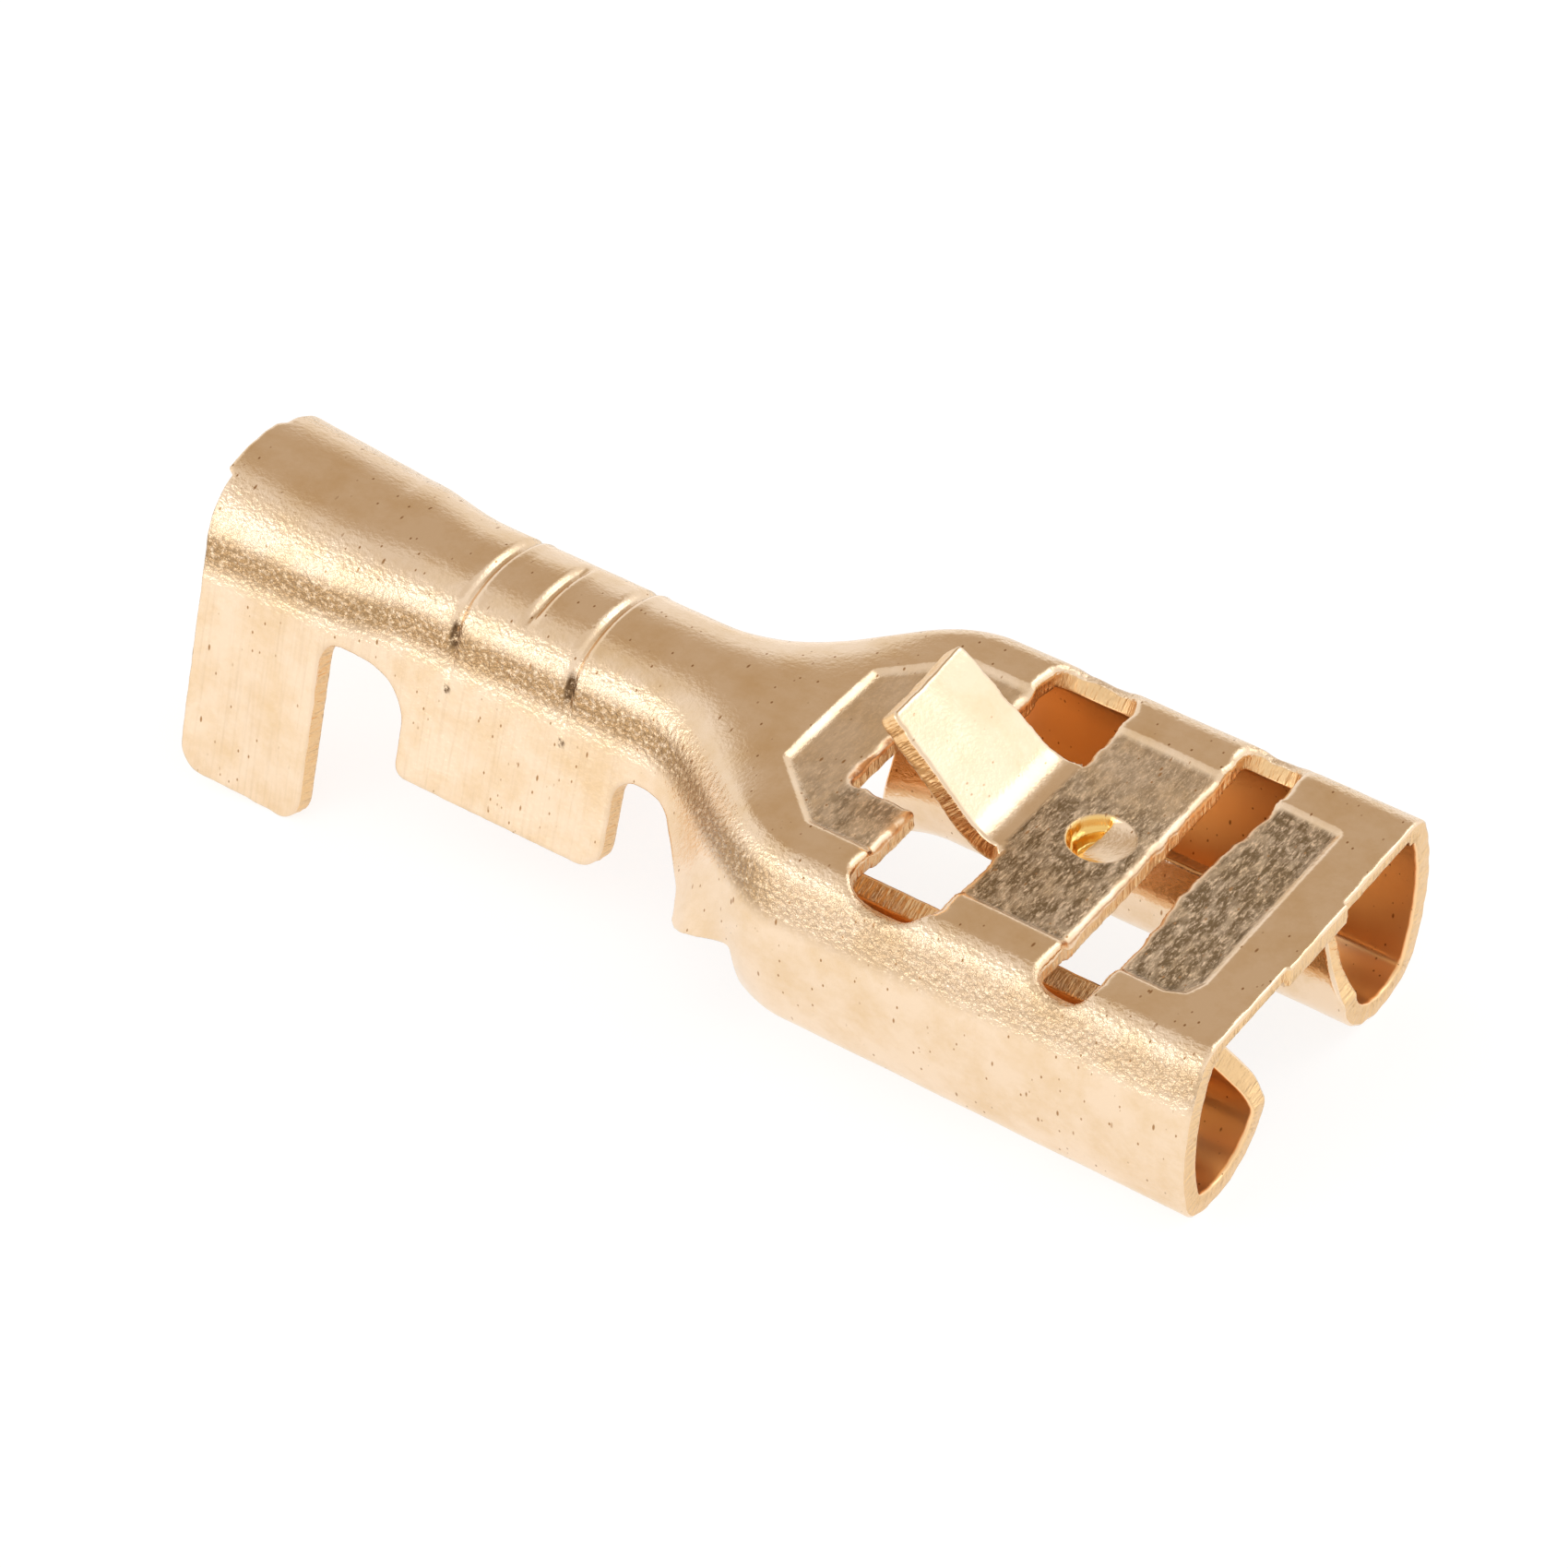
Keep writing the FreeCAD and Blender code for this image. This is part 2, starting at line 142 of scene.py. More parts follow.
class TerminalStage(bpy.types.PropertyGroup):
    tilt: bpy.props.FloatProperty(
        name="Rest tilt", description="Dip of the terminal's axis towards the mouth",
        default=0.0766629, subtype="ANGLE",
    )
    shift_x: bpy.props.FloatProperty(
        name="Origin shift", description="Place of the mouth along X in mm", default=10.5710
    )
    shift_z: bpy.props.FloatProperty(
        name="Origin height", description="Height of the plate's outer face at the mouth in mm",
        default=3.7051,
    )
    azimuth: bpy.props.FloatProperty(
        name="Camera azimuth", description="Round the terminal from +X",
        default=math.radians(-55.65), subtype="ANGLE",
    )
    elevation: bpy.props.FloatProperty(
        name="Camera elevation", description="Above the plate",
        default=math.radians(42.64), subtype="ANGLE",
    )
    roll: bpy.props.FloatProperty(
        name="Camera roll", description="Turn about the line of sight",
        default=math.radians(0.48), subtype="ANGLE",
    )
    distance: bpy.props.FloatProperty(
        name="Camera distance", description="From the target in mm", default=76.22
    )
    lens: bpy.props.FloatProperty(
        name="Lens", description="Focal length on a 36 mm sensor in mm", default=111.44
    )


def smooth(t):
    """Smooth step from 0 to 1 as t goes from 0 to 1."""
    t = np.clip(t, 0.0, 1.0)
    return t * t * (3.0 - 2.0 * t)


def mix(a, b, t):
    return a + (b - a) * t


# Section tables
def barrel(crown_r, crown_rad, bend_r, splay):
    """Half the section of an open barrel: crown, bend and straight wing."""
    crown = (crown_r * crown_rad, 1 / crown_r)
    bend = (bend_r * (math.pi / 2 - splay - crown_rad), 1 / bend_r)
    return crown, bend, (LONG, 0.0)


CONDUCTOR_SPLAY = 0.315
CONDUCTOR = barrel(2.22, 0.40, 0.846, CONDUCTOR_SPLAY)
INSULATION_NEAR = barrel(3.21, 0.276, 1.07, 0.298)
INSULATION_FAR = barrel(2.96, 0.276, 1.38, 0.298)
# Height of the insulation barrel's crown over the plate at its front and its rear end
CROWN_NEAR = 0.09
CROWN_FAR = 0.34


def sections(x, plate_half):
    """Lengths and bends of the seven pieces of the section at every x, and the height of its crown."""
    lengths = np.zeros((7, len(x)))
    bends = np.zeros((7, len(x)))

    neck = smooth((x - NECK_REAR) / (NECK_FRONT - NECK_REAR))
    lengths[0] = mix(CONDUCTOR[0][0], plate_half, neck)
    bends[0] = CONDUCTOR[0][1] * (1.0 - neck) ** 2
    lengths[1] = mix(CONDUCTOR[1][0], SIDE_BEND_LENGTH, neck)
    turn = mix(math.pi / 2 - CONDUCTOR_SPLAY, SIDE_BEND_TURN, neck)
    bends[1] = (turn - lengths[0] * bends[0]) / lengths[1]
    rolled = x >= ROLL_REAR - CUT_WANDER
    lengths[2] = np.where(rolled, WALL[0], LONG)
    bends[2] = smooth((x - ROLL_REAR) / WALL_BOW_RUN + 1.0) * WALL[1]
    last = len(ROLL) - 1
    for k, (length, bend) in enumerate(ROLL):
        lengths[3 + k] = np.where(rolled, length if k < last else LONG, 0.0)
        bends[3 + k] = np.where(rolled, bend, 0.0)

    joint = smooth((CONDUCTOR_REAR - x) / (CONDUCTOR_REAR - INSULATION_FRONT))
    taper = np.clip((INSULATION_FRONT - x) / (INSULATION_FRONT - INSULATION_REAR), 0.0, 1.1)
    behind = x < CONDUCTOR_REAR
    crown = np.where(behind, mix(CROWN_NEAR * joint, CROWN_FAR, taper), 0.0)
    for k in range(2):
        length = mix(mix(CONDUCTOR[k][0], INSULATION_NEAR[k][0], joint), INSULATION_FAR[k][0], taper)
        bend = mix(mix(CONDUCTOR[k][1], INSULATION_NEAR[k][1], joint), INSULATION_FAR[k][1], taper)
        lengths[k] = np.where(behind, length, lengths[k])
        bends[k] = np.where(behind, bend, bends[k])
    return lengths, bends, crown


def fold(x, s, depth, plate_half):
    """Places points of the blank on the folded terminal; depth is measured inwards from the outer face."""
    lengths, bends, crown = sections(x, plate_half)
    y = np.zeros(len(x))
    z = crown.copy()
    turn = np.zeros(len(x))
    left = np.abs(s)
    for k in range(7):
        step = np.clip(left, 0.0, lengths[k])
        left = left - step
        bend = np.where(np.abs(bends[k]) < 1e-6, 1e-6, bends[k])
        after = turn + bend * step
        y += (np.sin(after) - np.sin(turn)) / bend
        z += (np.cos(after) - np.cos(turn)) / bend
        turn = after
    y -= depth * np.sin(turn)
    z -= depth * np.cos(turn)
    return np.column_stack([x, np.sign(s) * y, z])


# The lance: a tongue of the blank, bent up from the bridge and pointing towards the wire
LANCE_ROOT = -5.15
LANCE_LENGTH = 2.75
LANCE_BEND = 0.90
LANCE_ANGLE = math.radians(41.8)
LANCE_ROOT_NEAR = 1.10
LANCE_ROOT_FAR = 1.30
LANCE_TIP_HALF = 0.96
LANCE_TWIST = 0.13
LANCE_GAP = 0.045
FIELD_DEPTH = 0.10


def lance_half(x, s):
    """Half width of the lance at x, on the near (s < 0) or the far side."""
    share = np.clip((LANCE_ROOT - x) / LANCE_LENGTH, 0.0, 1.0)
    return mix(np.where(s > 0, LANCE_ROOT_FAR, LANCE_ROOT_NEAR), LANCE_TIP_HALF, share)


def on_lance(x, s):
    inside = (x < LANCE_ROOT) & (x > LANCE_ROOT - LANCE_LENGTH - LANCE_GAP)
    return inside & (np.abs(s) < lance_half(x, s) + LANCE_GAP)


def bend_lance(x, s, depth):
    """Places points of the lance: bent up about its root, then straight, with its far edge twisted up."""
    run = LANCE_ROOT - x
    angle = np.clip(run / LANCE_BEND, 0.0, LANCE_ANGLE)
    rest = np.clip(run - LANCE_BEND * LANCE_ANGLE, 0.0, None)
    reach = LANCE_BEND + depth
    px = LANCE_ROOT - reach * np.sin(angle) - rest * math.cos(LANCE_ANGLE)
    pz = LANCE_BEND - FIELD_DEPTH - reach * np.cos(angle) + rest * math.sin(LANCE_ANGLE)
    towards_far = smooth((s + 0.3) / 1.5)
    towards_tip = np.clip(rest / 1.8, 0.0, 1.0) ** 1.5
    pz += LANCE_TWIST * towards_far * towards_tip
    return np.column_stack([px, s, pz])


# Outlines of the blank
def rounded_corners(corners, step):
    """Corners given as (x, s, radius), each turned into the points of its arc."""
    count = len(corners)
    points = []
    for i in range(count):
        before = np.array(corners[i - 1][:2])
        here = np.array(corners[i][:2])
        after = np.array(corners[(i + 1) % count][:2])
        u = (before - here) / np.linalg.norm(before - here)
        v = (after - here) / np.linalg.norm(after - here)
        half = 0.5 * math.acos(max(-1.0, min(1.0, float(u @ v))))
        radius = corners[i][2]
        cut = radius / math.tan(half) if half < math.pi / 2 - 1e-3 else 0.0
        a = here + u * cut
        b = here + v * cut
        if cut < 1e-6:
            points.append(here)
            continue
        bisector = (u + v) / np.linalg.norm(u + v)
        centre = here + bisector * radius / math.sin(half)
        start = math.atan2(*(a - centre)[::-1])
        sweep = math.atan2(*(b - centre)[::-1]) - start
        sweep = (sweep + math.pi) % (2 * math.pi) - math.pi
        parts = max(3, int(abs(sweep) * radius / step) + 1)
        for k in range(parts + 1):
            turn = start + sweep * k / parts
            points.append(centre + radius * np.array([math.cos(turn), math.sin(turn)]))
    return points


def rounded_path(corners, step):
    """Points at about one step apart along a closed outline of (x, s, radius) corners."""
    points = rounded_corners(corners, step)
    dense = []
    for i in range(len(points)):
        a = points[i]
        b = points[(i + 1) % len(points)]
        gap = np.linalg.norm(b - a)
        if gap < 1e-5:
            continue
        parts = max(1, int(round(gap / step)))
        for k in range(parts):
            dense.append(a + (b - a) * k / parts)
    return np.array(dense)


def blank_outline(step):
    """Outside edge of the blank: both sides from the mouth to the wire end, and the torn carrier stubs."""
    lip = 10.871
    tip_rear = 6.66
    tip_front = 6.57
    wing = 4.652
    side = [
        (0.0, 9.67, 0.3),
        (-0.68, lip, 0.12),
        (ROLL_REAR, lip, 0.35),
        (ROLL_REAR, 6.30, 0.5),
        (-8.79, 5.42, 0.08),
        (-9.05, 5.31, 0.4),
        (-9.75, 5.03, 0.6),
        (-10.14, 4.95, 0.15),
        (-10.30, 4.80, 0.10),
        (-10.33, 4.30, 0.60),
        (-11.25, 2.78, 0.75),
        (CONDUCTOR_FRONT, 2.80, 0.42),
        (CONDUCTOR_FRONT, wing, 0.50),
        (CONDUCTOR_REAR, wing, 0.27),
        (CONDUCTOR_REAR, 2.90, 0.85),
        (INSULATION_FRONT, 2.90, 0.42),
        (INSULATION_FRONT, tip_front, 0.50),
        (INSULATION_REAR, tip_rear, 0.50),
        (INSULATION_REAR, 3.4, 1.0),
    ]
    far = side + [(INSULATION_REAR - 0.08, 2.2, 1.0)]
    near = [(x, -s, r) for x, s, r in reversed(side)]
    front_stub = [(0.0, -0.95, 0.03), (0.06, -0.93, 0.03), (0.06, 0.82, 0.03), (0.0, 0.84, 0.03)]
    rear_stub = [
        (INSULATION_REAR - 0.07, 0.62, 0.10),
        (INSULATION_REAR - 0.16, 0.44, 0.05),
        (INSULATION_REAR - 0.14, -0.90, 0.05),
        (INSULATION_REAR, -0.99, 0.05),
    ]
    return rounded_path(front_stub + far + rear_stub + near, step)


def window_outlines(step):
    """The two windows in the plate; the rear one runs round the lance."""
    end = 3.49
    rear = -6.75
    notch = -8.00
    tip = LANCE_ROOT - LANCE_LENGTH
    lance_window = [
        (LANCE_ROOT, -LANCE_ROOT_NEAR - 0.05, 0.02),
        (LANCE_ROOT - 0.10, -LANCE_ROOT_NEAR + 0.01, 0.02),
        (tip, -LANCE_TIP_HALF, 0.10),
        (tip, LANCE_TIP_HALF, 0.10),
        (LANCE_ROOT - 0.10, LANCE_ROOT_FAR - 0.01, 0.02),
        (LANCE_ROOT, LANCE_ROOT_FAR + 0.05, 0.02),
        (LANCE_ROOT, end, 0.72),
        (rear, end, 0.78),
        (rear, 1.21, 0.06),
        (notch, 1.12, 0.08),
        (notch, -1.10, 0.08),
        (rear, -1.12, 0.06),
        (rear, -end, 0.78),
        (LANCE_ROOT, -end, 0.72),
    ]
    front_window = [
        (-3.11, -end, 0.42),
        (-2.20, -end, 0.42),
        (-2.20, -1.6, 0.3),
        (-2.29, -0.4, 0.5),
        (-2.27, 0.5, 0.5),
        (-2.12, 2.0, 0.5),
        (-2.12, end - 0.04, 0.42),
        (-3.11, end - 0.04, 0.42),
    ]
    return [rounded_path(lance_window, step), rounded_path(front_window, step)]


# Smooth seeded noise
def ripple(a, b, length, seed, waves=9):
    """Smooth noise of about -1 to 1 with the given wave length in the units of a and b."""
    rng = np.random.default_rng(seed)
    total = np.zeros(np.shape(a))
    for _ in range(waves):
        turn = rng.uniform(0, 2 * math.pi)
        rate = 2 * math.pi / (length * rng.uniform(0.7, 1.5))
        total = total + np.sin(rate * (a * math.cos(turn) + b * math.sin(turn)) + rng.uniform(0, 2 * math.pi))
    return total / math.sqrt(waves * 1.5)


def inward(loop):
    """Unit normals of a closed loop, pointing to its left."""
    along = np.roll(loop, -1, axis=0) - np.roll(loop, 1, axis=0)
    along /= np.linalg.norm(along, axis=1)[:, None] + 1e-12
    return np.column_stack([-along[:, 1], along[:, 0]])


def signed_area(loop):
    """Area of a closed loop, negative where it runs clockwise."""
    x, s = loop[:, 0], loop[:, 1]
    return 0.5 * float(np.sum(x * np.roll(s, -1) - np.roll(x, -1) * s))


def inside_loop(points, loop):
    """Which points lie inside a closed loop."""
    found = np.zeros(len(points), bool)
    for (ax, ay), (bx, by) in zip(loop, np.roll(loop, -1, axis=0)):
        if ay == by:
            continue
        crosses = (points[:, 1] > ay) != (points[:, 1] > by)
        at = ax + (points[:, 1] - ay) * (bx - ax) / (by - ay)
        found ^= crosses & (points[:, 0] < at)
    return found


def nearest(points, targets):
    """Distance of every point to the nearest target."""
    tree = KDTree(len(targets))
    for i, (x, s) in enumerate(targets):
        tree.insert((x, s, 0.0), i)
    tree.balance()
    return np.array([tree.find((x, s, 0.0))[2] for x, s in points])


# The stamped field in the plate
FIELD = [
    (-0.80, 2.30),
    (-4.0, 2.42),
    (-8.05, 2.45),
    (-9.22, 1.38),
    (-9.22, -1.40),
    (-8.05, -2.46),
    (-4.0, -2.46),
    (-1.20, -2.50),
    (-0.92, -2.36),
    (-0.80, -2.05),
]
FIELD_MIDDLE = -4.8
FIELD_BORDER = 0.20
FIELD_ROUND = 0.12


def polygon_distance(x, s, corners):
    """Distance outside a convex polygon, negative inside it."""
    shape = np.array(corners)
    best = np.full(len(x), 1e9)
    p = np.column_stack([x, s])
    for a, b in zip(shape, np.roll(shape, -1, axis=0)):
        e = b - a
        t = np.clip(((p - a) @ e) / (e @ e), 0.0, 1.0)
        best = np.minimum(best, np.linalg.norm(p - a - t[:, None] * e, axis=1))
    return np.where(inside_loop(p, shape), -best, best)


def field_corners(shrink):
    """The field's corners, each moved towards its middle."""
    return [(x - shrink * np.sign(x - FIELD_MIDDLE), s - shrink * np.sign(s)) for x, s in FIELD]


def field_sink(x, s):
    """How far the stamped field lies below the plate."""
    outside = polygon_distance(x, s, field_corners(FIELD_ROUND)) - FIELD_ROUND
    ramp = np.clip(-outside / FIELD_BORDER, 0.0, 1.0)
    return FIELD_DEPTH * mix(ramp, smooth(ramp), 0.6)


def grime_and_shade_at(x, s):
    """How dark the coined field is made, partly dirt and partly painted shade: most in front, then on the
    bridge and the near tab behind it.
    """
    front = smooth((x + 2.9) / 0.5)
    tab = smooth((x + 8.3) / 0.5) * (1.0 - smooth((x + 6.6) / 0.4)) * (1.0 - smooth((s + 1.3) / 0.5))
    bridge = smooth((x + 5.6) / 0.4) * (1.0 - smooth((x + 2.9) / 0.5))
    across = 0.95 - 0.40 * smooth((s - 0.2) / 1.2)
    rear = 0.22 + 0.25 * smooth((-s - 0.6) / 1.2)
    return np.maximum(np.maximum(front, 0.72 * tab), np.maximum(bridge * across, rear))


# The dimple in the bridge: a smooth ramp from the mouth side ends over a deep pocket, whose wall has a ledge
DIMPLE = (-3.96, 0.0)
DIMPLE_R = 0.57
DIMPLE_STEP = -4.10
DIMPLE_DEPTH = 0.42
DIMPLE_WALL = 0.20
DIMPLE_RAMP_DEPTH = 0.17
DIMPLE_RAMP_RUN = 0.66


def from_step(x, s):
    """How far behind the dimple's step a point lies; the step runs slightly askew."""
    return DIMPLE_STEP + 0.1 * s - x


def dimple_sink(x, s):
    """How far the dimple lies below the field."""
    within = DIMPLE_R - np.hypot(x - DIMPLE[0], s - DIMPLE[1])
    wander = 0.012 * ripple(x, s, 0.25, 15)
    steep = np.clip((within + wander) / DIMPLE_WALL, 0.0, 1.0)
    pocket = DIMPLE_DEPTH * (0.52 * smooth(steep / 0.45) + 0.48 * smooth((steep - 0.55) / 0.45))
    rim = DIMPLE[0] + np.sqrt(np.clip(DIMPLE_R**2 - (s - DIMPLE[1]) ** 2, 0.0, None))
    ramp = DIMPLE_RAMP_DEPTH * np.clip((rim - x) / DIMPLE_RAMP_RUN, 0.0, 1.0)
    ramp = np.minimum(ramp, DIMPLE_RAMP_DEPTH * smooth(within / 0.10))
    behind = smooth(from_step(x, s) / 0.05)
    return np.where(within > 0, mix(ramp, pocket, behind), 0.0)


# Grooves pressed over the conductor barrel: place, end on both sides
GROOVES = ((-13.46, 2.9), (-14.65, 1.15), (-15.86, 2.9))
SHORT_GROOVE = 2.0
GROOVE_DEPTH = 0.105
GROOVE_HALF = 0.12
LIP_HEIGHT = 0.018
LIP_SHIFT = 0.19
LIP_HALF = 0.09


def groove_sink(x, s):
    """How far the grooves lie below the barrel; each throws up a low lip on its mouth side."""
    total = np.zeros(len(x))
    for place, end in GROOVES:
        fade = 1.0 - smooth((np.abs(s) - end * 0.45) / (end * 0.5))
        total += GROOVE_DEPTH * np.clip(1.0 - np.abs(x - place) / GROOVE_HALF, 0.0, 1.0) * fade
        lip = np.clip(1.0 - np.abs(x - place - LIP_SHIFT) / LIP_HALF, 0.0, 1.0)
        total -= LIP_HEIGHT * smooth(lip) * fade
    return total


def groove_darkening(x, s):
    """Darkening in the long grooves: a line where each runs over the bend and a spot near its end."""
    total = np.zeros(len(x))
    across = np.abs(s)
    for place, end in GROOVES:
        if end < SHORT_GROOVE:
            continue
        line = 1.0 - smooth((np.abs(x - place + 0.02) - 0.02) / 0.09)
        over = smooth((across - 1.20) / 0.45) * (1.0 - smooth((across - 1.70) / 0.35))
        spot = 1.0 - smooth((np.hypot(x - place - 0.02, across - end + 0.25) - 0.03) / 0.05)
        total = np.maximum(total, np.maximum(line * over, spot))
    return total


def bend_places(x, plate_half):
    """Where the first bend beside the crown or plate starts and ends at every x."""
    lengths = sections(x, plate_half)[0]
    return lengths[0], lengths[0] + lengths[1]


def face_relief(x, s, plate_half):
    """The slight waviness of the stamped sheet, finer over its bends."""
    start, end = bend_places(x, plate_half)
    across = np.abs(s)
    bent = smooth((across - start + 0.1) / 0.25) * (1.0 - smooth((across - end - 0.35) / 0.5))
    waves = 0.0030 * ripple(x, s, 1.9, 3) + 0.0012 * ripple(x, s, 0.7, 4)
    return waves + 0.0012 * bent * ripple(x, s, 0.22, 5)


OUTLINE_STEP = 0.055


class Blank:
    """The flat blank: its outlines, the points of its two faces and their triangles."""

    def __init__(self):
        outer = blank_outline(OUTLINE_STEP)
        if signed_area(outer) < 0:
            outer = outer[::-1]
        holes = []
        for hole in window_outlines(OUTLINE_STEP):
            holes.append(hole[::-1] if signed_area(hole) > 0 else hole)
        self.loops = [self.rough_cut(outer, 0.0)] + [self.rough_cut(h, 1.0) for h in holes]
        self.normals = [inward(loop) for loop in self.loops]
        self.border = np.concatenate(self.loops)
        self.holes = np.concatenate(self.loops[1:])

    def rough_cut(self, loop, hole):
        """Small wander of the sheared line, strongest along the front window and the sides of the lance."""
        x, s = loop[:, 0], loop[:, 1]
        strong = hole * (np.abs(s) < 3.0) * np.where(x > -7.7, 1.0, 0.2)
        long_wander = (0.004 + 0.009 * strong) * ripple(x, s, 0.35, 11)
        short_wander = (0.002 + 0.005 * strong) * ripple(x, s, 0.12, 12)
        return loop + inward(loop) * (long_wander + short_wander)[:, None]

    def holds(self, points):
        """Which points lie on the sheet."""
        kept = inside_loop(points, self.loops[0])
        for loop in self.loops[1:]:
            kept &= ~inside_loop(points, loop)
        return kept

    def lattice(self, spacing):
        """Staggered rows of points over the whole sheet."""
        rows = []
        for i, x in enumerate(np.arange(-21.2, 0.1, spacing * 0.87)):
            s = np.arange(-11.0, 11.0, spacing) + (i % 2) * spacing / 2
            rows.append(np.column_stack([np.full(len(s), x), s]))
        points = np.concatenate(rows)
        return points[self.holds(points)]

    def border_edges(self):
        edges = []
        first = 0
        for loop in self.loops:
            n = len(loop)
            edges += [(first + i, first + (i + 1) % n) for i in range(n)]
            first += n
        return edges

    def face(self, spacing, rings, extra):
        """Points and triangles of one face; the border's points come first."""
        fixed = [self.border]
        for distance in rings:
            for loop, normal in zip(self.loops, self.normals):
                ring = loop + normal * distance
                fixed.append(ring[nearest(ring, self.border) > 0.8 * distance])
        guard = np.concatenate(fixed + extra)
        lattice = self.lattice(spacing)
        lattice = lattice[nearest(lattice, guard) > 0.55 * spacing]
        inner = np.concatenate([guard, lattice])[len(self.border) :]
        points = np.concatenate([self.border, inner[self.holds(inner)]])

        out = delaunay_2d_cdt([Vector(p) for p in points], self.border_edges(), [], 0, 1e-7)
        faces, origin = out[2], out[3]
        index = [o[0] if o else -1 for o in origin]
        triangles = np.array([[index[i] for i in f] for f in faces if len(f) == 3])
        triangles = triangles[(triangles >= 0).all(axis=1)]
        centres = points[triangles].mean(axis=1)
        return points, triangles[self.holds(centres)]


def round_drop(distance, radius):
    """How far a rounded edge has dropped at a distance from it."""
    near = np.clip(distance / radius, 0.0, 1.0)
    return radius * (1.0 - np.sqrt(1.0 - (1.0 - near) ** 2)) * 0.85


def field_points():
    """Extra points along the field's border and over the dimple."""
    line = rounded_path([(x, s, 0.18) for x, s in FIELD], 0.07)
    normal = inward(line)
    if signed_area(line) < 0:
        normal = -normal
    points = [line + normal * shift for shift in (-0.06, 0.0, 0.04, 0.075, 0.11, 0.15, 0.21)]
    grid = np.arange(-0.66, 0.66, 0.024)
    gx, gs = np.meshgrid(grid, grid)
    disc = np.column_stack([gx.ravel(), gs.ravel()])
    disc = disc[np.linalg.norm(disc, axis=1) < 0.64]
    points.append(disc + np.array(DIMPLE))
    return points


def groove_points():
    """Extra points along the grooves and their lips."""
    points = []
    for place, end in GROOVES:
        for shift in (-0.12, -0.06, 0.0, 0.06, 0.12, 0.19, 0.27):
            s = np.arange(-end, end, 0.07)
            points.append(np.column_stack([np.full(len(s), place + shift), s]))
    return points


def seat(points, place):
    """From the terminal's own frame in mm to the row frame in metres."""
    c, s = math.cos(place.tilt), math.sin(place.tilt)
    x = points[:, 0] * c + points[:, 2] * s + place.shift_x
    z = -points[:, 0] * s + points[:, 2] * c + place.shift_z
    return np.column_stack([x, points[:, 1], z]) * MM


def rest_on_floor(points):
    """Flattens the lowest corners of the insulation wings, which would reach a hair below the floor."""
    points[:, 2] = np.maximum(points[:, 2], 0.0)
    return points


def shape_points(x, s, depth, plate_half):
    """Sinks of the field and dimple move the whole sheet; the lance is bent up."""
    lance = on_lance(x, s)
    sink = np.where(lance, 0.0, field_sink(x, s) + dimple_sink(x, s))
    folded = fold(x, s, depth + sink, plate_half)
    return np.where(lance[:, None], bend_lance(x, s, depth), folded)


def add_floats(mesh, name, values):
    layer = mesh.attributes.new(name, "FLOAT", "POINT")
    layer.data.foreach_set("value", np.asarray(values, np.float32))


OUTER_RINGS = (0.015, 0.045, 0.09, 0.15)
INNER_RINGS = (0.02, 0.08)
INNER_SPACING = 1.5
# Rows of points over the sheared rim, with the borders of both faces counted
RIM_ROWS = 8
EXTRA_HOLE_ROUND = 2.0
MOUTH_BEVEL_DEPTH = 0.15
MOUTH_BEVEL_RUN = 0.45


def outer_face(blank, sheet):
    """Points, depth, distance from the edge and triangles of the outer face."""
    points, triangles = blank.face(sheet.spacing, OUTER_RINGS, field_points() + groove_points())
    x, s = points[:, 0], points[:, 1]
    edge = nearest(points, blank.border)
    at_hole = nearest(points, blank.holes) < edge + 1e-6
    wider = 1.0 + EXTRA_HOLE_ROUND * at_hole * ~on_lance(x, s)
    drawn = sheet.edge_round * wider * (1.0 + 0.25 * ripple(x, s, 0.5, 31))
    depth = round_drop(edge, drawn) + groove_sink(x, s)
    depth = depth - face_relief(x, s, sheet.plate_half) * smooth(edge / 0.15)
    return x, s, depth, edge, triangles


def inner_face(blank, sheet):
    """The same for the inner face, with the bevel under the plate's mouth."""
    points, triangles = blank.face(sheet.spacing * INNER_SPACING, INNER_RINGS, field_points())
    x, s = points[:, 0], points[:, 1]
    edge = nearest(points, blank.border)
    beside_stub = (np.abs(s) < 2.9) * (np.abs(s + 0.05) > 0.93)
    bevel = MOUTH_BEVEL_DEPTH * np.clip(1.0 + x / MOUTH_BEVEL_RUN, 0.0, 1.0) * beside_stub
    depth = sheet.thickness - round_drop(edge, sheet.burr_round) - bevel
    return x, s, depth, edge, triangles


def rim_rows(blank, top, low):
    """Rows of points between the two faces, each with its depth; the torn lower part of the rim is rough."""
    normals = np.concatenate(blank.normals)
    rows = []
    for level in np.linspace(0.0, 1.0, RIM_ROWS)[1:-1]:
        tear = smooth((level - 0.3) / 0.3)
        rough = 0.010 * ripple(blank.border[:, 0] + 7 * level, blank.border[:, 1], 0.16, 21)
        shifted = blank.border + normals * (tear * (rough - 0.006))[:, None]
        rows.append((shifted, mix(top, low, level)))
    return rows


def rim_faces(blank, first_row, first_inner):
    """Quads of the rim, from the outer face's border over the rows to the inner face's border."""
    starts = [0] + [first_row + row * len(blank.border) for row in range(RIM_ROWS - 2)] + [first_inner]
    faces = []
    first = 0
    for loop in blank.loops:
        n = len(loop)
        for i in range(n):
            a = first + i
            b = first + (i + 1) % n
            for upper, lower in zip(starts, starts[1:]):
                faces.append((upper + b, upper + a, lower + a, lower + b))
        first += n
    return faces


